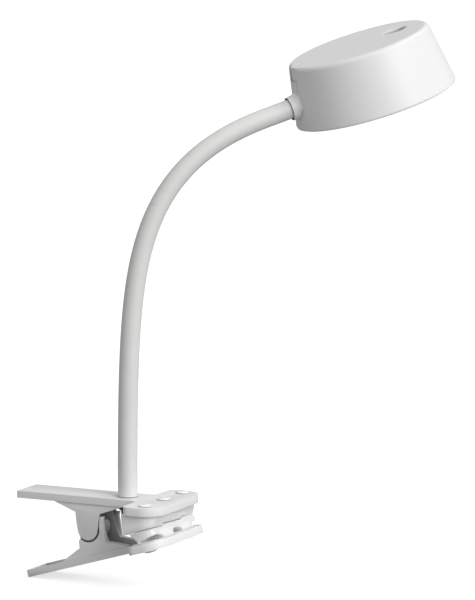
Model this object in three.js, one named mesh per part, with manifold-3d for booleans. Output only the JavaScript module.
// A clip-on reading lamp: a sprung jaw clip with rubber pads, a bendable neck that stands on the clip,
// and a conical lamp head with a rocker switch in its top. Millimetres, +Z up, +X from the clip's
// handles to its jaws. The origin is the middle of the grip, between the two closed pads.
import * as THREE from "three";
import { mergeVertices } from "three/addons/utils/BufferGeometryUtils.js";
import Module from "manifold-3d";

const wasm = await Module();
wasm.setup();

// ---------------------------------------------------------------- driving dimensions

// Fits
const GAP = 0.3; // between pieces that touch, seat or turn in each other
const PIVOT_FIT = 0.3; // pin in its holes, on the radius
const NECK_FIT = 0.3; // ball in its cup
const SWITCH_FIT = 0.4; // rocker in its slot

// Clip levers: both are the same moulding but for their ears
const LEVER_RISE = 20.3; // pivot axis to a lever's outer face
const HANDLE_REACH = 48.4; // pivot axis to the end of a handle
const BAR_WIDTH = 24.8;
const BAR_WALL = 2.2;
const SKIRT_DEPTH = 4.4;
const SKIRT_WALL = 2.0;
const JAW_START = 34.4; // pivot axis to the rear edge of a jaw plate
const JAW_LENGTH = 23.9;
const JAW_WIDTH = 67.0;
const JAW_RIM = 5.0;
const JAW_FRONT_RADIUS = 13.0;
const JAW_REAR_RADIUS = 4.5;
const BAR_FILLET = 3.0; // where the bar's sides meet the jaw plate
const CLOSED_ANGLE = 16.5; // degrees between the two levers when the pads meet
const OPEN_ANGLE = 40.0; // degrees the lower lever can turn from there

// Ears and pivot
const EAR_SETBACK = 1.0; // from the side of the bar to the outer face of an ear
const EAR_WALL = 1.9;
const INNER_EAR_WALL = 2.2;
const TONGUE_RADIUS = 6.9;
const POCKET_MARGIN = 1.3; // bare ring round the tongue in the inner ear
const FLARE_START = 22.5; // pivot axis to where an ear leaves the bar, towards the handle
const FLARE_END = 24.0; // and towards the jaw
const FLARE_DEPTH = 10.2; // outer face of the lever to the shoulder of an ear
const FLARE_STEP = 0.4; // skirt's edge to the first points of an ear's flare
const PIN_RADIUS = 2.0;
const PIN_SEAT = 1.2; // depth of the pin's blind holes in the outer ears

// Spring
const SPRING_RADIUS = 7.0; // middle of the wire
const WIRE_DIAMETER = 1.6;
const SPRING_WHOLE_TURNS = 4;
const SPRING_PITCH = 2.0;
const LEG_START = 68.0; // degrees round the coil where a leg leaves it

// Pads
const PAD_START = 32.2; // pivot axis to the upper pad's rear edge, next to the plate
const LOWER_PAD_START = 43.0; // the lower pad leans back from there to its gripping face
const PAD_REAR_RADIUS = 3.0;
const PAD_INSET = 2.6; // from the jaw plate's front and sides to the pad
const GRIP_START = 35.3; // pivot axis to the rear of the gripping face
const GRIP_END = 51.9; // and to its lip
const GRIP_HEIGHT = 7.5; // pivot axis up to the lip
const GRIP_ANGLE = 19.0; // degrees that the gripping face climbs to its lip
const TOOTH_COUNT = 3; // cells of stud, arch and tooth across a pad
const TOOTH_PITCH = 25.0;
const TOOTH_STEP = 1.3;
const ARCH_WIDTH = 14.0;
const ARCH_RISE = 3.3;
const ARCH_REACH = 12.0; // how far an arch goes in from the front
const STUD_X = 46.6; // pivot axis to the snap studs
const STUD_RADIUS = 2.4;
const STUD_HEAD_RADIUS = 4.0;
const STUD_HEAD_HEIGHT = 1.3;

// Neck
const NECK_X = 21.9; // pivot axis to the foot of the neck
const NECK_RADIUS = 6.0;
const NECK_TURN = 43.5; // degrees from +X to the plane that the neck leans in
const NECK_LINKS = 7;
const FIRST_JOINT = 20.0; // along the neck, from the lever
const LAST_JOINT = 268.0;
const NECK_TAIL = 21.2; // straight end that goes into the head's collar
const BEND_CENTRE = 200.7; // along the neck, where it bends most
const BEND_SPREAD = 33.7;
const FAR_HEADING = 8.5; // degrees above level that the bend tends to
const NECK_SWING = 25.0; // degrees each way at every neck joint

// Hollow studs that hold the neck at both ends
const TUBE_RADIUS = 4.0;
const TUBE_BORE = 2.4;
const TUBE_SOCKET = 8.0; // length inside the neck
const TUBE_PROUD = 3.0; // length past its nut
const NUT_FLATS = 11.0;
const NUT_HEIGHT = 4.0;
const WASHER_RADIUS = 7.2;
const WASHER_THICKNESS = 1.0;

// Lamp head
const SHADE_TOP_RADIUS = 44.6;
const SHADE_MOUTH_RADIUS = 51.1;
const SHADE_HEIGHT = 39.3;
const SHADE_WALL = 2.0;
const SHADE_EDGE = 3.2; // round of the top edge
const SHADE_LIP = 1.6; // round of the mouth's outer edge
const NECK_DROP = 23.5; // top face to the axis of the neck
const COLLAR_LENGTH = 5.4; // outside the wall, along the neck's axis
const COLLAR_MOUTH_RADIUS = 7.3;
const COLLAR_ROOT_RADIUS = 10.8;
const COLLAR_SINK = 2.5; // depth in from the wall where its hollow curve ends
const COUNTERSINK = 0.8; // wider and deeper, at the collar's mouth
const SEAT_MARGIN = 0.56; // flat for the washer, in from where the leaning wall clears its rim
const NOTCH_WIDTH = 11.0;
const NOTCH_LENGTH = 9.0; // along the top face and down the back
const NOTCH_DEPTH = 0.9; // down the back; it fades out along the top face
const RIB_WIDTH = 8.0; // flat rib from the notch down to the collar
const RIB_HEIGHT = 0.4;

// Switch
const SWITCH_X = 25.0; // shade axis to the middle of the switch
const DISH_RADIUS = 9.0;
const DISH_DEPTH = 1.3;
const DISH_BACKING = 1.5; // wider than the dish
const ROCKER_LENGTH = 13.0;
const ROCKER_WIDTH = 7.6;
const ROCKER_RISE = 3.6; // its axis to the tips of its top
const ROCKER_HOLLOW = 0.7; // how far the middle of its top dips
const ROCKER_DEPTH = 2.2; // its axis to its underside
const ROCKER_AXIS_DROP = 5.2; // top face to its axis
const ROCKER_TILT = 7.0; // degrees each way
const ROCKER_PIN_RADIUS = 0.9;
const ROCKER_PIN_REACH = 1.0; // into the housing's walls
const HOUSING_WALL = 1.4;
const HOUSING_HEIGHT = 10.0;
const TAB_SPACING = 4.0; // switch's middle to each of its two tabs
const TAB_LENGTH = 5.0;
const TAB_WIDTH = 4.8;
const TAB_THICKNESS = 0.8;

// Light engine
const SPREADER_RADIUS = 36.0;
const SPREADER_THICKNESS = 2.0;
const SPREADER_DROP = 28.5; // top face to the spreader
const BOARD_RADIUS = 27.0;
const BOARD_THICKNESS = 1.6;
const CHIP_COUNT = 12;
const CHIP_RING = 19.0;
const CHIP_SIZE = 3.0;
const CHIP_HEIGHT = 0.7;
const BOSS_COUNT = 3;
const BOSS_RING = 32.0;
const BOSS_RADIUS = 3.6;
const BOARD_SCREWS = 2;
const BOARD_SCREW_RING = 11.0;
const SCREW_RADIUS = 1.3;
const SCREW_HEAD_RADIUS = 2.6;
const SCREW_HEAD_HEIGHT = 1.7;
const SPREADER_SCREW_LENGTH = 8.0;
const WIRE_HOLE_RADIUS = 3.0; // in the middle of the spreader and the board
const BOARD_SCREW_LENGTH = 3.2;
const REFLECTOR_WALL = 1.0;
const REFLECTOR_THROAT = 30.4;
const DIFFUSER_WALL = 1.6;
const DIFFUSER_SKIRT = 3.4;
const DIFFUSER_RECESS = 0.5;

// Working lengths of the solids
const WELD = 0.2; // how deep a piece is sunk into the one that it joins
const CUT_PAST = 20.0; // how far a cutter reaches past what it cuts

// Facets
const ROUND = 72;
const MEDIUM = 24;
const SMALL = 12;
const NECK_SIDES = 16;

// ---------------------------------------------------------------- shapes as solids

const rad = THREE.MathUtils.degToRad;

// A closed three.js geometry as a solid that can be joined and cut.
function solid(geometry) {
  const bare = geometry.index ? geometry.toNonIndexed() : geometry.clone();
  bare.deleteAttribute("normal");
  bare.deleteAttribute("uv");
  const merged = mergeVertices(bare, 1e-4);
  const index = merged.index.array;
  const triangles = [];
  for (let i = 0; i < index.length; i += 3) {
    const [a, b, c] = [index[i], index[i + 1], index[i + 2]];
    if (a !== b && b !== c && c !== a) triangles.push(a, b, c);
  }
  return new wasm.Manifold(
    new wasm.Mesh({
      numProp: 3,
      vertProperties: merged.attributes.position.array,
      triVerts: new Uint32Array(triangles),
    }),
  );
}

function geometryOf(body) {
  const mesh = body.getMesh();
  const geometry = new THREE.BufferGeometry();
  geometry.setAttribute("position", new THREE.BufferAttribute(mesh.vertProperties, 3));
  geometry.setIndex(new THREE.BufferAttribute(mesh.triVerts, 1));
  geometry.computeVertexNormals();
  return geometry;
}

function box(x0, x1, y0, y1, z0, z1) {
  const geometry = new THREE.BoxGeometry(x1 - x0, y1 - y0, z1 - z0);
  return solid(geometry.translate((x0 + x1) / 2, (y0 + y1) / 2, (z0 + z1) / 2));
}

// An outline in X and Y, as a THREE.Shape, raised from z0 to z1.
function plate(shape, z0, z1, curveSegments = 6) {
  const options = { depth: z1 - z0, bevelEnabled: false, curveSegments };
  return solid(new THREE.ExtrudeGeometry(shape, options).translate(0, 0, z0));
}

// An outline drawn in X and Z, given thickness from y0 to y1.
function slab(shape, y0, y1, curveSegments = 6) {
  const options = { depth: y1 - y0, bevelEnabled: false, curveSegments };
  const geometry = new THREE.ExtrudeGeometry(shape, options);
  return solid(geometry.rotateX(Math.PI / 2).translate(0, y1, 0));
}

function outline(points) {
  return new THREE.Shape(points.map(([a, b]) => new THREE.Vector2(a, b)));
}

// A profile of [radius, height] points, going up its outside, turned round Z.
function turned(profile, sides = MEDIUM) {
  const points = profile.map(([r, z]) => new THREE.Vector2(r, z));
  return new THREE.LatheGeometry(points, sides).rotateX(Math.PI / 2);
}

function disc(radius, z0, z1, sides = MEDIUM) {
  return solid(
    turned(
      [
        [0, z0],
        [radius, z0],
        [radius, z1],
        [0, z1],
      ],
      sides,
    ),
  );
}

function ring(inner, outer, z0, z1, sides = MEDIUM) {
  return solid(
    turned(
      [
        [inner, z0],
        [outer, z0],
        [outer, z1],
        [inner, z1],
        [inner, z0],
      ],
      sides,
    ),
  );
}

// Moves a solid, by a matrix that is built from a position and turns in degrees.
function placed(body, position, turns = [0, 0, 0]) {
  const matrix = new THREE.Matrix4().makeRotationFromEuler(
    new THREE.Euler(rad(turns[0]), rad(turns[1]), rad(turns[2])),
  );
  matrix.setPosition(...position);
  return solid(geometryOf(body).applyMatrix4(matrix));
}

// A cylinder along Y, from y0 to y1.
function crossPin(x, z, radius, y0, y1, sides = SMALL) {
  return placed(disc(radius, -y1, -y0, sides), [x, 0, z], [90, 0, 0]);
}

function joined(bodies) {
  return bodies.reduce((whole, body) => whole.add(body));
}

function cut(body, tools) {
  return tools.reduce((whole, tool) => whole.subtract(tool), body);
}

// ---------------------------------------------------------------- materials

function finish(name, color, roughness, metalness = 0) {
  return () => new THREE.MeshStandardMaterial({ name, color, roughness, metalness });
}

const whitePlastic = finish("white_plastic", 0xf1f1ef, 0.45);
const padRubber = finish("pad_rubber", 0xf7f7f4, 0.35);
const neckSleeve = finish("neck_sleeve", 0xeeeeec, 0.5);
const springSteel = finish("spring_steel", 0xb9bcc0, 0.25, 1);
const brightSteel = finish("bright_steel", 0xc4c6c8, 0.3, 1);
const blackSteel = finish("black_steel", 0x35363a, 0.45, 1);
const aluminium = finish("aluminium", 0xc9cbcd, 0.4, 1);
const boardWhite = finish("board_white", 0xf3f3ee, 0.5);
const opal = finish("opal", 0xfafaf6, 0.3);
const darkPlastic = finish("dark_plastic", 0x2b2b2d, 0.5);

function part(group, name, body, material) {
  const mesh = new THREE.Mesh(geometryOf(body), material());
  mesh.name = name;
  group.add(mesh);
}

// A group that turns about an axis through its own origin, by so many degrees each way.
function hinged(parent, name, joint, axis, degrees) {
  const group = new THREE.Group();
  group.name = name;
  group.userData.hinge = { joint, axis, degrees };
  parent.add(group);
  return group;
}

// ---------------------------------------------------------------- clip levers
// Both levers are drawn with the pivot axis at the origin, +X to the jaws and +Z outwards.

const BAR_HALF = BAR_WIDTH / 2;
const EAR_OUT = BAR_HALF - EAR_SETBACK;
const EAR_IN = EAR_OUT - EAR_WALL;
const INNER_EAR_OUT = EAR_IN - GAP;
const INNER_EAR_IN = INNER_EAR_OUT - INNER_EAR_WALL;
const SKIRT_EDGE = LEVER_RISE - SKIRT_DEPTH;
const SHOULDER = LEVER_RISE - FLARE_DEPTH;
const BAR_INSIDE = LEVER_RISE - BAR_WALL;
const JAW_END = JAW_START + JAW_LENGTH;

// The jaw plate seen from above, drawn in by an inset.
function jawOutline(inset = 0) {
  const half = JAW_WIDTH / 2 - inset;
  const start = JAW_START + inset;
  const end = JAW_END - inset;
  const front = JAW_FRONT_RADIUS - inset;
  const rear = JAW_REAR_RADIUS - inset;
  const shape = new THREE.Shape();
  shape.moveTo(start + rear, -half);
  shape.lineTo(end - front, -half);
  shape.absarc(end - front, -half + front, front, -Math.PI / 2, 0);
  shape.absarc(end - front, half - front, front, 0, Math.PI / 2);
  shape.absarc(start + rear, half - rear, rear, Math.PI / 2, Math.PI);
  shape.absarc(start + rear, -half + rear, rear, Math.PI, 1.5 * Math.PI);
  return shape;
}

function studPlaces() {
  const middle = (TOOTH_COUNT - 1) / 2;
  return Array.from({ length: TOOTH_COUNT }, (_, i) => (i - middle) * TOOTH_PITCH);
}

// Fills the corner between the side of the bar and the plate's rear edge, on each side.
function barFillets() {
  const shape = new THREE.Shape();
  shape.moveTo(JAW_START + 0.5, BAR_HALF - 0.5);
  shape.lineTo(JAW_START + 0.5, BAR_HALF + BAR_FILLET);
  shape.lineTo(JAW_START, BAR_HALF + BAR_FILLET);
  const [x, y] = [JAW_START - BAR_FILLET, BAR_HALF + BAR_FILLET];
  shape.absarc(x, y, BAR_FILLET, 0, -Math.PI / 2, true);
  shape.lineTo(x, BAR_HALF - 0.5);
  const fillet = plate(shape, SKIRT_EDGE, LEVER_RISE, 4);
  return [fillet, fillet.mirror([0, 1, 0])];
}

// The bar and jaw plate that both levers share: a shell that is open on its inner side.
function leverShell() {
  const barEnd = JAW_START + JAW_REAR_RADIUS;
  const bar = box(-HANDLE_REACH, barEnd, -BAR_HALF, BAR_HALF, SKIRT_EDGE, LEVER_RISE);
  const jaw = plate(jawOutline(), LEVER_RISE - JAW_RIM, LEVER_RISE);
  const hollow = BAR_HALF - SKIRT_WALL;
  const inside = SKIRT_EDGE - JAW_RIM;
  const barHollow = box(SKIRT_WALL - HANDLE_REACH, barEnd, -hollow, hollow, inside, BAR_INSIDE);
  const jawHollow = plate(jawOutline(SKIRT_WALL), inside, BAR_INSIDE);
  const holes = studPlaces().map((y) =>
    placed(disc(STUD_RADIUS + GAP, BAR_INSIDE - 1, LEVER_RISE + 1, SMALL), [STUD_X, y, 0]),
  );
  return cut(joined([bar, jaw, ...barFillets()]), [barHollow, jawHollow, ...holes]);
}

// The ear's flare runs down from the skirt to its shoulders; the rest of it is given by its inner points.
function earOutline(shoulders, addInner) {
  const shape = new THREE.Shape();
  shape.moveTo(FLARE_END, SKIRT_EDGE + EAR_SETBACK);
  shape.lineTo(-FLARE_START, SKIRT_EDGE + EAR_SETBACK);
  shape.lineTo(-FLARE_START, SKIRT_EDGE - FLARE_STEP);
  shape.lineTo(shoulders[0], SHOULDER);
  addInner(shape);
  shape.lineTo(shoulders[1], SHOULDER);
  shape.lineTo(FLARE_END, SKIRT_EDGE - FLARE_STEP);
  shape.closePath();
  return shape;
}

function bothSides(shape, inner, outer) {
  return [slab(shape, inner, outer), slab(shape, -outer, -inner)];
}

// Upper ears: a round tongue below each shoulder.
function outerEars() {
  const shape = earOutline([-8.3, 8.4], (ear) => {
    ear.lineTo(-TONGUE_RADIUS - 0.6, 3.0);
    ear.absarc(0, 0, TONGUE_RADIUS, Math.PI, 2 * Math.PI);
  });
  return bothSides(shape, EAR_IN, EAR_OUT);
}

// Lower ears: they reach past the pivot and run between the upper ones.
function innerEars() {
  const shape = earOutline([-8.7, 10.2], (ear) => {
    ear.lineTo(-7.6, 5.0);
    ear.absarc(0, 0, 7.6, Math.PI * 1.1, Math.PI * 1.35);
    ear.lineTo(9.8, -8.0);
    ear.lineTo(9.4, -2.9);
  });
  return bothSides(shape, INNER_EAR_IN, INNER_EAR_OUT);
}

// Skin that brings the lower ear out to the upper ear's face, left open where the tongue swings.
function earSkins() {
  const shape = earOutline([-8.7, 10.2], (ear) => {
    ear.lineTo(-7.9, 5.6);
    ear.lineTo(0, 0);
    ear.lineTo(8.5, -0.5);
    ear.lineTo(10.4, -5.6);
    ear.lineTo(13.2, -5.2);
    ear.lineTo(11.7, -2.9);
  });
  const tongueRoom = crossPin(0, 0, TONGUE_RADIUS + POCKET_MARGIN, -BAR_HALF, BAR_HALF, MEDIUM);
  return bothSides(shape, INNER_EAR_OUT - 0.01, EAR_OUT).map((skin) => skin.subtract(tongueRoom));
}

function upperLever() {
  const blindHole = crossPin(0, 0, PIN_RADIUS + PIVOT_FIT, -EAR_IN - PIN_SEAT, EAR_IN + PIN_SEAT);
  const neckHole = placed(disc(TUBE_RADIUS + GAP, BAR_INSIDE - 1, LEVER_RISE + 1), [NECK_X, 0, 0]);
  return cut(joined([leverShell(), ...outerEars()]), [blindHole, neckHole]);
}

function lowerLever() {
  const pinHole = crossPin(0, 0, PIN_RADIUS + PIVOT_FIT, -BAR_HALF, BAR_HALF);
  return cut(joined([leverShell(), ...innerEars(), ...earSkins()]), [pinHole]);
}

function pivotPin() {
  const half = EAR_IN + PIN_SEAT - GAP;
  return crossPin(0, 0, PIN_RADIUS, -half, half);
}

// ---------------------------------------------------------------- pads

const PAD_BASE = BAR_INSIDE - GAP;
const RIM_EDGE = LEVER_RISE - JAW_RIM;

// Places the lower lever: turned over, then turned up about the pivot by the closed angle.
function lowerFrame() {
  const closed = new THREE.Matrix4().makeRotationY(rad(-CLOSED_ANGLE));
  return closed.multiply(new THREE.Matrix4().makeRotationX(Math.PI));
}

// Everything below the toothed face that the two pads share, in the upper lever's frame.
function belowGrip(shift) {
  const half = (TOOTH_COUNT * TOOTH_PITCH) / 2;
  const points = [[half, -60]];
  for (let i = TOOTH_COUNT; i > 0; i -= 1) {
    points.push([i * TOOTH_PITCH - half, -TOOTH_STEP / 2 + shift]);
    points.push([(i - 1) * TOOTH_PITCH - half, TOOTH_STEP / 2 + shift]);
  }
  points.push([-half, -60]);
  const options = { depth: 80, bevelEnabled: false };
  const geometry = new THREE.ExtrudeGeometry(outline(points), options).translate(0, 0, -60);
  const acrossToAlong = new THREE.Matrix4().makeBasis(
    new THREE.Vector3(0, 1, 0),
    new THREE.Vector3(0, 0, 1),
    new THREE.Vector3(1, 0, 0),
  );
  geometry.applyMatrix4(acrossToAlong);
  geometry.rotateY(rad(-GRIP_ANGLE)).translate(GRIP_END, 0, GRIP_HEIGHT);
  return solid(geometry);
}

function padOutline() {
  const half = JAW_WIDTH / 2 - PAD_INSET;
  const end = JAW_END - PAD_INSET;
  const front = JAW_FRONT_RADIUS - PAD_INSET;
  const rear = PAD_REAR_RADIUS;
  const shape = new THREE.Shape();
  shape.moveTo(PAD_START + rear, -half);
  shape.lineTo(end - front, -half);
  shape.absarc(end - front, -half + front, front, -Math.PI / 2, 0);
  shape.absarc(end - front, half - front, front, 0, Math.PI / 2);
  shape.absarc(PAD_START + rear, half - rear, rear, Math.PI / 2, Math.PI);
  shape.absarc(PAD_START + rear, -half + rear, rear, Math.PI, 1.5 * Math.PI);
  return shape;
}

// The pad's side view: it narrows from the plate to the gripping face.
function padSideView(start, gripFloor) {
  const top = RIM_EDGE - GAP;
  return outline([
    [start, top],
    [GRIP_START, gripFloor],
    [GRIP_END + 0.1, gripFloor],
    [GRIP_END + 0.1, GRIP_HEIGHT],
    [GRIP_END + 1.4, GRIP_HEIGHT + 3],
    [JAW_END - PAD_INSET, top],
  ]);
}

function snapStud(y) {
  const head = STUD_HEAD_RADIUS;
  const top = LEVER_RISE + GAP;
  const round = [0.25, 0.5, 0.75].map((t) => [
    head * Math.cos((t * Math.PI) / 2),
    top + STUD_HEAD_HEIGHT * (0.2 + 0.8 * Math.sin((t * Math.PI) / 2)),
  ]);
  const profile = [
    [0, PAD_BASE - 1],
    [STUD_RADIUS, PAD_BASE - 1],
    [STUD_RADIUS, top],
    [head, top],
    [head, top + 0.2 * STUD_HEAD_HEIGHT],
    ...round,
    [0, top + STUD_HEAD_HEIGHT],
  ];
  return placed(solid(turned(profile, SMALL)), [STUD_X, y, 0]);
}

// A low arch in the pad's front, open towards the plate.
function arch(y) {
  const half = ARCH_WIDTH / 2;
  const shape = new THREE.Shape();
  shape.moveTo(half, -1);
  shape.absellipse(0, 0, half, ARCH_RISE, 0, Math.PI, false);
  shape.lineTo(-half, -1);
  const body = slab(shape, 0, ARCH_REACH + 10, 5);
  return placed(body, [JAW_END - PAD_INSET - ARCH_REACH, y, RIM_EDGE - GAP], [180, 0, -90]);
}

// A pad without its gripping face cut: base in the plate's hollow, body, studs.
function padBlank(start, gripFloor, arches) {
  const top = RIM_EDGE - GAP;
  const half = JAW_WIDTH / 2;
  const sideView = slab(padSideView(start, gripFloor), -half, half);
  const body = sideView.intersect(plate(padOutline(), gripFloor - 1, top));
  const base = plate(jawOutline(PAD_INSET), top - 0.5, PAD_BASE);
  return joined([cut(body, arches), base, ...studPlaces().map(snapStud)]);
}

function upperPad() {
  return padBlank(PAD_START, 0, []).subtract(belowGrip(GAP / 2));
}

function lowerPad() {
  const toLower = lowerFrame().invert();
  const place = (body) => solid(geometryOf(body).applyMatrix4(toLower));
  return padBlank(LOWER_PAD_START, 4, studPlaces().map(arch)).intersect(place(belowGrip(-GAP / 2)));
}

// ---------------------------------------------------------------- spring

// The coil ends where the lower leg begins, so its part turn follows from the two legs' places.
const COIL_TURNS = SPRING_WHOLE_TURNS + (2 * LEG_START - CLOSED_ANGLE) / 360;
const COIL_END = (COIL_TURNS * SPRING_PITCH) / 2;

class CoilPath extends THREE.Curve {
  getPoint(t, target = new THREE.Vector3()) {
    const angle = rad(LEG_START) - t * COIL_TURNS * 2 * Math.PI;
    const y = (2 * t - 1) * COIL_END;
    return target.set(SPRING_RADIUS * Math.cos(angle), y, SPRING_RADIUS * Math.sin(angle));
  }
}

function wire(path, steps) {
  const section = new THREE.Shape();
  section.absarc(0, 0, WIRE_DIAMETER / 2, 0, 2 * Math.PI);
  const options = { steps, extrudePath: path, curveSegments: 6, bevelEnabled: false };
  return solid(new THREE.ExtrudeGeometry(section, options));
}

// A straight leg that leaves the coil along its tangent and reaches the inside of the bar.
function springLeg(y, clearance) {
  const angle = rad(LEG_START);
  const start = new THREE.Vector3(Math.cos(angle), 0, Math.sin(angle)).multiplyScalar(SPRING_RADIUS);
  const along = new THREE.Vector3(-Math.sin(angle), 0, Math.cos(angle));
  const climb = BAR_INSIDE - GAP - WIRE_DIAMETER / 2 - start.z;
  const end = start.clone().addScaledVector(along, climb / along.z);
  start.addScaledVector(along, clearance);
  start.y = y;
  end.y = y;
  return wire(new THREE.LineCurve3(start, end), 1);
}

function springCoil() {
  const steps = Math.round(COIL_TURNS * 16);
  return wire(new CoilPath(), steps).add(springLeg(-COIL_END, -WIRE_DIAMETER / 8));
}

// ---------------------------------------------------------------- neck
// The neck leans in one plane. Its heading is its angle above level, at a length along it.

const LINK_LENGTH = (LAST_JOINT - FIRST_JOINT) / NECK_LINKS;

function heading(length) {
  const bend = 1 + Math.exp((length - BEND_CENTRE) / BEND_SPREAD);
  return rad(FAR_HEADING + (90 - FAR_HEADING) / bend);
}

// The neck's middle line from one length to another, as steps of [out, up] from the first point.
function neckLine(from, to, steps = 60) {
  const step = (to - from) / steps;
  const at = [0, 0];
  for (let i = 0; i < steps; i += 1) {
    const angle = heading(from + (i + 0.5) * step);
    at[0] += step * Math.cos(angle);
    at[1] += step * Math.sin(angle);
  }
  return at;
}

// Turns a distance in the neck's plane into the frame of a joint: X to the inside of the bend, Z along it.
function inJointFrame([out, up], length) {
  const angle = heading(length);
  return [out * Math.sin(angle) - up * Math.cos(angle), out * Math.cos(angle) + up * Math.sin(angle)];
}

// Bends a turned geometry, drawn straight up from a joint, along the neck. Its ends stay straight, so that
// the ball and the cup keep their round shape.
function bentAlongNeck(geometry, from, to) {
  const position = geometry.getAttribute("position");
  for (let i = 0; i < position.count; i += 1) {
    const length = from + position.getZ(i);
    const held = THREE.MathUtils.clamp(length, from, to);
    const middle = length > to - CUP_RADIUS - 1 ? to : held;
    const [x0, z0] = inJointFrame(neckLine(from, middle), from);
    const turn = heading(from) - heading(middle);
    const along = length - middle;
    const side = position.getX(i);
    position.setX(i, x0 + side * Math.cos(turn) + along * Math.sin(turn));
    position.setZ(i, z0 - side * Math.sin(turn) + along * Math.cos(turn));
  }
  return geometry;
}

const CUP_RADIUS = NECK_RADIUS + NECK_FIT;
const CUP_EDGE = Math.sqrt(CUP_RADIUS ** 2 - NECK_RADIUS ** 2);

// The convex lower end of a link, round the joint at height 0.
function ballProfile() {
  const steps = 4;
  return Array.from({ length: steps + 1 }, (_, i) => {
    const angle = ((i - steps) / steps) * (Math.PI / 2);
    return [NECK_RADIUS * Math.cos(angle), NECK_RADIUS * Math.sin(angle)];
  });
}

// The hollow upper end of a link, round the next joint at a height.
function cupProfile(height) {
  const steps = 4;
  const edge = Math.asin(CUP_EDGE / CUP_RADIUS);
  return Array.from({ length: steps + 1 }, (_, i) => {
    const angle = edge + (i / steps) * (Math.PI / 2 - edge);
    return [CUP_RADIUS * Math.cos(angle), height - CUP_RADIUS * Math.sin(angle)];
  });
}

function neckLink(index) {
  const from = FIRST_JOINT + index * LINK_LENGTH;
  const to = from + LINK_LENGTH;
  const sideSteps = 5;
  const sideTop = LINK_LENGTH - CUP_RADIUS - 1;
  const side = Array.from({ length: sideSteps }, (_, i) => [NECK_RADIUS, ((i + 1) / sideSteps) * sideTop]);
  const profile = [...ballProfile(), ...side, ...cupProfile(LINK_LENGTH)];
  return solid(bentAlongNeck(turned(profile, NECK_SIDES), from, to));
}

// The end of the neck that stands on the clip, with the socket for its hollow stud.
function neckFoot() {
  const socket = TUBE_RADIUS + GAP;
  const profile = [
    [0, TUBE_SOCKET + GAP],
    [socket, TUBE_SOCKET + GAP],
    [socket, GAP],
    [NECK_RADIUS, GAP],
    ...cupProfile(FIRST_JOINT),
  ];
  return solid(turned(profile, NECK_SIDES));
}

// The end of the neck in the lamp head.
function neckEnd() {
  const socket = TUBE_RADIUS + GAP;
  const profile = [
    ...ballProfile(),
    [NECK_RADIUS, NECK_TAIL],
    [socket, NECK_TAIL],
    [socket, NECK_TAIL - TUBE_SOCKET - GAP],
    [0, NECK_TAIL - TUBE_SOCKET - GAP],
  ];
  return solid(turned(profile, NECK_SIDES));
}

// A hollow threaded stud along Z: its socket end is up, and it goes through a wall down to its nut.
function hollowStud(wall) {
  const reach = wall + WASHER_THICKNESS + NUT_HEIGHT + 3 * GAP + TUBE_PROUD;
  return ring(TUBE_BORE, TUBE_RADIUS, -reach, TUBE_SOCKET, MEDIUM);
}

function studWasher(wall) {
  const top = -wall - GAP;
  return ring(TUBE_RADIUS + GAP, WASHER_RADIUS, top - WASHER_THICKNESS, top, MEDIUM);
}

function studNut(wall) {
  const top = -wall - WASHER_THICKNESS - 2 * GAP;
  const hexagon = disc(NUT_FLATS / Math.sqrt(3), top - NUT_HEIGHT, top, 6);
  return hexagon.subtract(disc(TUBE_RADIUS + GAP, top - NUT_HEIGHT - 1, top + 1));
}

// ---------------------------------------------------------------- shade
// Drawn with its top face at Z = 0, its axis on Z and the neck coming in from -X.

const SHADE_SLOPE = (SHADE_MOUTH_RADIUS - SHADE_TOP_RADIUS) / SHADE_HEIGHT;
const SEAT_DEPTH = SEAT_MARGIN + (WASHER_RADIUS + GAP) * SHADE_SLOPE;
const ROCKER_SWING = ROCKER_RISE * Math.sin(rad(ROCKER_TILT));
const SWITCH_SLOT_LENGTH = ROCKER_LENGTH + 2 * (SWITCH_FIT + ROCKER_SWING);
const SWITCH_SLOT_WIDTH = ROCKER_WIDTH + 2 * SWITCH_FIT;

// The outer radius of the shade at a depth below its top face.
function shadeRadius(depth) {
  return SHADE_TOP_RADIUS + SHADE_SLOPE * depth;
}

// Points on a quarter round from one corner direction to the next.
function quarter(x, z, radius, fromDegrees, toDegrees, steps = 3) {
  return Array.from({ length: steps + 1 }, (_, i) => {
    const angle = rad(fromDegrees + (i / steps) * (toDegrees - fromDegrees));
    return [x + radius * Math.cos(angle), z + radius * Math.sin(angle)];
  });
}

function shadeShell() {
  const lean = THREE.MathUtils.radToDeg(Math.atan(SHADE_SLOPE));
  const edge = SHADE_EDGE;
  const lip = SHADE_LIP;
  const innerTop = shadeRadius(SHADE_WALL) - SHADE_WALL;
  const mouth = SHADE_MOUTH_RADIUS;
  const profile = [
    [0, -SHADE_WALL],
    [innerTop, -SHADE_WALL],
    [mouth - SHADE_WALL, -SHADE_HEIGHT],
    ...quarter(mouth - lip, lip - SHADE_HEIGHT, lip, -90, lean, 2),
    ...quarter(SHADE_TOP_RADIUS - edge + SHADE_SLOPE * edge, -edge, edge, lean, 90, 4),
    [0, 0],
  ];
  return solid(turned(profile, ROUND));
}

// A turned profile along X, for what lies round the axis of the neck. Heights become places in X.
function roundNeckAxis(profile, sides = MEDIUM) {
  return placed(solid(turned(profile, sides)), [0, 0, -NECK_DROP], [0, 90, 0]);
}

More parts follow.
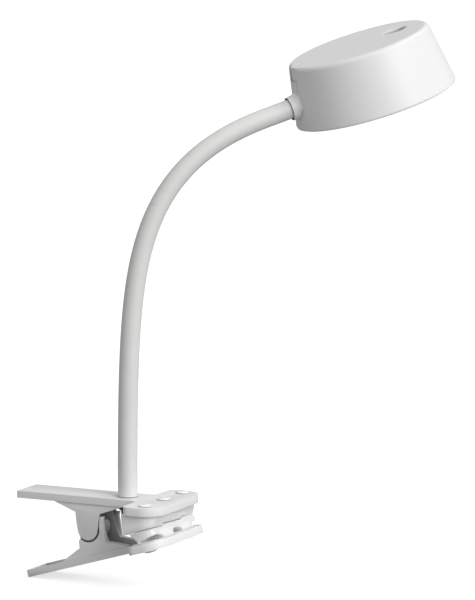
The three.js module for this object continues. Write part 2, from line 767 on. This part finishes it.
// The collar runs through the wall to a flat inside it, where the washer seats square.
function collar() {
  const wall = -shadeRadius(NECK_DROP);
  const inside = wall + SHADE_WALL + SEAT_DEPTH;
  const steps = 6;
  const flare = Array.from({ length: steps + 1 }, (_, i) => {
    const angle = ((i / steps) * Math.PI) / 2;
    const widening = (COLLAR_ROOT_RADIUS - COLLAR_MOUTH_RADIUS) * (1 - Math.cos(angle));
    const along = (COLLAR_LENGTH + COLLAR_SINK) * Math.sin(angle);
    return [COLLAR_MOUTH_RADIUS + widening, wall - COLLAR_LENGTH + along];
  });
  const profile = [[0, wall - COLLAR_LENGTH], ...flare, [COLLAR_ROOT_RADIUS, inside], [0, inside]];
  return roundNeckAxis(profile, ROUND);
}

// A flat rib down the back, from the notch to the collar.
function rib() {
  const reach = shadeRadius(0) + RIB_HEIGHT;
  const body = box(0, SHADE_WALL, -RIB_WIDTH / 2, RIB_WIDTH / 2, -NECK_DROP, -NOTCH_LENGTH / 2);
  return placed(body, [-reach, 0, 0], [0, THREE.MathUtils.radToDeg(Math.atan(SHADE_SLOPE)), 0]);
}

function neckPassage() {
  const wall = -shadeRadius(NECK_DROP);
  const sleeve = NECK_RADIUS + GAP;
  const tube = TUBE_RADIUS + GAP;
  return roundNeckAxis([
    [0, wall - COLLAR_LENGTH - 1],
    [sleeve + COUNTERSINK, wall - COLLAR_LENGTH - 1],
    [sleeve + COUNTERSINK, wall - COLLAR_LENGTH],
    [sleeve, wall - COLLAR_LENGTH + 2 * COUNTERSINK],
    [sleeve, wall + GAP],
    [tube, wall + GAP],
    [tube, wall + CUT_PAST],
    [0, wall + CUT_PAST],
  ]);
}

// The shallow channel over the top edge, above the neck. Its floor runs out into the top face.
function notch() {
  const half = NOTCH_WIDTH / 2;
  const fade = THREE.MathUtils.radToDeg(Math.atan(NOTCH_DEPTH / 2 / NOTCH_LENGTH));
  const along = box(-3 * NOTCH_LENGTH, 0, -half, half, 0, CUT_PAST);
  const top = placed(along, [NOTCH_LENGTH - SHADE_TOP_RADIUS, 0, 0], [0, -fade, 0]);
  const floor = shadeRadius(0) - NOTCH_DEPTH;
  const down = box(-CUT_PAST, 0, -half, half, -NOTCH_LENGTH, CUT_PAST);
  const lean = THREE.MathUtils.radToDeg(Math.atan(SHADE_SLOPE));
  return top.add(placed(down, [-floor, 0, 0], [0, lean, 0]));
}

function slotOutline(length, width) {
  const radius = width / 2;
  const straight = length / 2 - radius;
  const shape = new THREE.Shape();
  shape.moveTo(-straight, -radius);
  shape.absarc(straight, 0, radius, -Math.PI / 2, Math.PI / 2);
  shape.absarc(-straight, 0, radius, Math.PI / 2, 1.5 * Math.PI);
  return shape;
}

function dish() {
  const ball = (DISH_RADIUS ** 2 + DISH_DEPTH ** 2) / (2 * DISH_DEPTH);
  const profile = Array.from({ length: 5 }, (_, i) => {
    const radius = ((i + 1) / 5) * DISH_RADIUS;
    return [radius, ball - DISH_DEPTH - Math.sqrt(ball ** 2 - radius ** 2)];
  });
  const body = turned([[0, -DISH_DEPTH], ...profile, [DISH_RADIUS, 2], [0, 2]]);
  return placed(solid(body), [SWITCH_X, 0, 0]);
}

// Thickens the top wall under the dish.
function dishBacking() {
  const bottom = -SHADE_WALL - DISH_DEPTH;
  return placed(disc(DISH_RADIUS + DISH_BACKING, bottom, -SHADE_WALL + WELD), [SWITCH_X, 0, 0]);
}

function switchSlot() {
  const shape = slotOutline(SWITCH_SLOT_LENGTH, SWITCH_SLOT_WIDTH);
  return placed(plate(shape, -CUT_PAST, CUT_PAST, 5), [SWITCH_X, 0, 0]);
}

function roundPlaces(count, ringRadius, first = 0) {
  return Array.from({ length: count }, (_, i) => {
    const angle = first + (i * 2 * Math.PI) / count;
    return [ringRadius * Math.cos(angle), ringRadius * Math.sin(angle)];
  });
}

const bossPlaces = () => roundPlaces(BOSS_COUNT, BOSS_RING, Math.PI / 2);
const boardScrewPlaces = () => roundPlaces(BOARD_SCREWS, BOARD_SCREW_RING);

function bosses() {
  return bossPlaces().map(([x, y]) =>
    placed(disc(BOSS_RADIUS, GAP - SPREADER_DROP, -SHADE_WALL + WELD, SMALL), [x, y, 0]),
  );
}

function bossHoles() {
  const bottom = -SPREADER_DROP - 1;
  const top = GAP - SPREADER_DROP + SPREADER_SCREW_LENGTH;
  return bossPlaces().map(([x, y]) => placed(disc(SCREW_RADIUS + GAP, bottom, top, SMALL), [x, y, 0]));
}

function shade() {
  const whole = joined([shadeShell(), collar(), rib(), dishBacking(), ...bosses()]);
  return cut(whole, [neckPassage(), notch(), dish(), switchSlot(), ...bossHoles()]);
}

// ---------------------------------------------------------------- switch

// The rocker round its own axis: a body with rounded ends, whose top dips to a crease, on two pins.
function rocker() {
  const half = ROCKER_LENGTH / 2;
  const sideView = outline([
    [-half, -ROCKER_DEPTH],
    [half, -ROCKER_DEPTH],
    [half, ROCKER_RISE],
    [0, ROCKER_RISE - ROCKER_HOLLOW],
    [-half, ROCKER_RISE],
  ]);
  const body = slab(sideView, -ROCKER_WIDTH / 2, ROCKER_WIDTH / 2);
  const fromAbove = plate(slotOutline(ROCKER_LENGTH, ROCKER_WIDTH), -half, half, 5);
  const reach = SWITCH_SLOT_WIDTH / 2 + ROCKER_PIN_REACH;
  return body.intersect(fromAbove).add(crossPin(0, 0, ROCKER_PIN_RADIUS, -reach, reach));
}

function switchHousing() {
  const top = -SHADE_WALL - DISH_DEPTH - GAP;
  const bottom = top - HOUSING_HEIGHT;
  const innerLength = SWITCH_SLOT_LENGTH / 2;
  const innerWidth = SWITCH_SLOT_WIDTH / 2;
  const outerLength = innerLength + HOUSING_WALL;
  const outerWidth = innerWidth + HOUSING_WALL;
  const body = box(-outerLength, outerLength, -outerWidth, outerWidth, bottom, top);
  const dip = (ROCKER_LENGTH / 2) * Math.sin(rad(ROCKER_TILT));
  const floor = -ROCKER_AXIS_DROP - ROCKER_DEPTH - dip - SWITCH_FIT;
  const hollow = box(-innerLength, innerLength, -innerWidth, innerWidth, floor, 0);
  const pinHole = crossPin(0, -ROCKER_AXIS_DROP, ROCKER_PIN_RADIUS + GAP, -outerLength, outerLength);
  const tabs = [-1, 1].map((side) => {
    const inner = side * TAB_SPACING - TAB_THICKNESS / 2;
    const half = TAB_WIDTH / 2;
    return box(inner, inner + TAB_THICKNESS, -half, half, bottom - TAB_LENGTH, bottom + WELD);
  });
  return placed(joined([cut(body, [hollow, pinHole]), ...tabs]), [SWITCH_X, 0, 0]);
}

// ---------------------------------------------------------------- light engine

const BOARD_TOP = -SPREADER_DROP - SPREADER_THICKNESS - GAP;
const BOARD_UNDERSIDE = BOARD_TOP - BOARD_THICKNESS;

function heatSpreader() {
  const top = -SPREADER_DROP;
  const bottom = top - SPREADER_THICKNESS;
  const holes = [...bossPlaces(), ...boardScrewPlaces()].map(([x, y]) =>
    placed(disc(SCREW_RADIUS + GAP, bottom - 1, top + 1, SMALL), [x, y, 0]),
  );
  holes.push(disc(WIRE_HOLE_RADIUS, bottom - 1, top + 1, SMALL));
  return cut(disc(SPREADER_RADIUS, bottom, top, ROUND), holes);
}

function ledBoard() {
  const chips = roundPlaces(CHIP_COUNT, CHIP_RING).map(([x, y], i) => {
    const half = CHIP_SIZE / 2;
    const chip = box(-half, half, -half, half, BOARD_UNDERSIDE - CHIP_HEIGHT, BOARD_UNDERSIDE + WELD);
    return placed(chip, [x, y, 0], [0, 0, (i * 360) / CHIP_COUNT]);
  });
  const holes = boardScrewPlaces().map(([x, y]) =>
    placed(disc(SCREW_RADIUS + GAP, BOARD_UNDERSIDE - 1, BOARD_TOP + 1, SMALL), [x, y, 0]),
  );
  holes.push(disc(WIRE_HOLE_RADIUS, BOARD_UNDERSIDE - 1, BOARD_TOP + 1, SMALL));
  return cut(joined([disc(BOARD_RADIUS, BOARD_UNDERSIDE, BOARD_TOP, ROUND), ...chips]), holes);
}

// A pan-head screw that goes up from a seat at height 0.
function panScrew(length) {
  const head = SCREW_HEAD_RADIUS;
  return solid(
    turned(
      [
        [0, -GAP - SCREW_HEAD_HEIGHT],
        [head * 0.6, -GAP - SCREW_HEAD_HEIGHT],
        [head, -GAP - SCREW_HEAD_HEIGHT * 0.5],
        [head, -GAP],
        [SCREW_RADIUS, -GAP],
        [SCREW_RADIUS, length],
        [0, length],
      ],
      SMALL,
    ),
  );
}

function spreaderScrew([x, y]) {
  return placed(panScrew(SPREADER_SCREW_LENGTH), [x, y, -SPREADER_DROP - SPREADER_THICKNESS]);
}

function boardScrew([x, y]) {
  return placed(panScrew(BOARD_SCREW_LENGTH), [x, y, BOARD_UNDERSIDE]);
}

const DIFFUSER_FACE = DIFFUSER_RECESS - SHADE_HEIGHT;
const SKIRT_TOP = DIFFUSER_FACE + DIFFUSER_WALL + DIFFUSER_SKIRT;
const SKIRT_RADIUS = shadeRadius(-SKIRT_TOP) - SHADE_WALL - GAP;

function diffuser() {
  const flange = shadeRadius(-DIFFUSER_FACE - DIFFUSER_WALL) - SHADE_WALL - GAP;
  const inner = SKIRT_RADIUS - DIFFUSER_WALL;
  return solid(
    turned(
      [
        [0, DIFFUSER_FACE],
        [flange, DIFFUSER_FACE],
        [flange, DIFFUSER_FACE + DIFFUSER_WALL],
        [SKIRT_RADIUS, DIFFUSER_FACE + DIFFUSER_WALL],
        [SKIRT_RADIUS, SKIRT_TOP],
        [inner, SKIRT_TOP],
        [inner, DIFFUSER_FACE + DIFFUSER_WALL],
        [0, DIFFUSER_FACE + DIFFUSER_WALL],
      ],
      ROUND,
    ),
  );
}

// The white cone round the lights, from the spreader's rim down to the diffuser.
function reflector() {
  const top = -SPREADER_DROP - SPREADER_THICKNESS - SCREW_HEAD_HEIGHT - 2 * GAP;
  const bottom = DIFFUSER_FACE + DIFFUSER_WALL + GAP;
  const mouth = SKIRT_RADIUS - DIFFUSER_WALL - GAP;
  return solid(
    turned(
      [
        [REFLECTOR_THROAT, top],
        [mouth - REFLECTOR_WALL, bottom],
        [mouth, bottom],
        [REFLECTOR_THROAT + REFLECTOR_WALL, top],
        [REFLECTOR_THROAT, top],
      ],
      ROUND,
    ),
  );
}

// ---------------------------------------------------------------- assembly

const GRIP_CENTRE = [
  (GRIP_START + GRIP_END) / 2,
  GRIP_HEIGHT - ((GRIP_END - GRIP_START) / 2) * Math.tan(rad(GRIP_ANGLE)),
];

const lamp = new THREE.Group();
lamp.name = "lamp";
const clip = new THREE.Group();
clip.position.set(-GRIP_CENTRE[0], 0, -GRIP_CENTRE[1]);
lamp.add(clip);

part(clip, "upper_lever", upperLever(), whitePlastic);
part(clip, "upper_pad", upperPad(), padRubber);
part(clip, "pivot_pin", pivotPin(), brightSteel);
part(clip, "spring_coil", springCoil(), springSteel);

const lowerArm = hinged(clip, "lower_arm", "jaw_hinge", [0, -1, 0], [0, OPEN_ANGLE]);
lowerArm.quaternion.setFromRotationMatrix(lowerFrame());
part(lowerArm, "lower_lever", lowerLever(), whitePlastic);
part(lowerArm, "lower_pad", lowerPad(), padRubber);
part(lowerArm, "spring_leg", springLeg(-COIL_END, GAP), springSteel);

const neckBase = new THREE.Group();
neckBase.position.set(NECK_X, 0, LEVER_RISE);
neckBase.rotation.z = rad(NECK_TURN);
clip.add(neckBase);
part(neckBase, "neck_foot", neckFoot(), neckSleeve);
part(neckBase, "foot_stud", hollowStud(BAR_WALL), blackSteel);
part(neckBase, "foot_washer", studWasher(BAR_WALL), brightSteel);
part(neckBase, "foot_nut", studNut(BAR_WALL), blackSteel);

// Joints take turns: one bends the neck in its plane, the next one sideways. The first of them stands
// straight above the foot.
function nextJoint(parent, index) {
  const axis = index % 2 ? [1, 0, 0] : [0, 1, 0];
  const name = index === NECK_LINKS ? "head" : `neck_link_${index + 1}`;
  const group = hinged(parent, name, `neck_bend_${index + 1}`, axis, [-NECK_SWING, NECK_SWING]);
  const to = FIRST_JOINT + index * LINK_LENGTH;
  const from = to - LINK_LENGTH;
  const [x, z] = index ? inJointFrame(neckLine(from, to), from) : [0, FIRST_JOINT];
  group.position.set(x, 0, z);
  group.rotation.y = (index ? heading(from) : rad(90)) - heading(to);
  return group;
}

let link = neckBase;
for (let i = 0; i < NECK_LINKS; i += 1) {
  link = nextJoint(link, i);
  part(link, `neck_segment_${i + 1}`, neckLink(i), neckSleeve);
}
const head = nextJoint(link, NECK_LINKS);
part(head, "neck_end", neckEnd(), neckSleeve);

// The shade hangs level with the end of the neck: its axis is square to the neck's.
const shadeGroup = new THREE.Group();
shadeGroup.rotation.y = rad(-90);
shadeGroup.position.set(-NECK_DROP, 0, NECK_TAIL + shadeRadius(NECK_DROP));
head.add(shadeGroup);
part(shadeGroup, "shade", shade(), whitePlastic);
part(shadeGroup, "switch_housing", switchHousing(), darkPlastic);
part(shadeGroup, "heat_spreader", heatSpreader(), aluminium);
part(shadeGroup, "led_board", ledBoard(), boardWhite);
part(shadeGroup, "reflector", reflector(), whitePlastic);
part(shadeGroup, "diffuser", diffuser(), opal);
bossPlaces().forEach((place, i) => {
  part(shadeGroup, `spreader_screw_${i + 1}`, spreaderScrew(place), brightSteel);
});
boardScrewPlaces().forEach((place, i) => {
  part(shadeGroup, `board_screw_${i + 1}`, boardScrew(place), brightSteel);
});

const headStudGroup = new THREE.Group();
headStudGroup.position.set(0, 0, NECK_TAIL);
headStudGroup.rotation.x = Math.PI;
head.add(headStudGroup);
const HEAD_SEAT = SHADE_WALL + SEAT_DEPTH;
part(headStudGroup, "head_stud", hollowStud(HEAD_SEAT), blackSteel);
part(headStudGroup, "head_washer", studWasher(HEAD_SEAT), brightSteel);
part(headStudGroup, "head_nut", studNut(HEAD_SEAT), blackSteel);

const rockerArm = hinged(shadeGroup, "rocker_arm", "rocker_switch", [0, 1, 0], [-2 * ROCKER_TILT, 0]);
rockerArm.position.set(SWITCH_X, 0, -ROCKER_AXIS_DROP);
rockerArm.rotation.y = rad(ROCKER_TILT);
part(rockerArm, "rocker", rocker(), whitePlastic);

export default lamp;
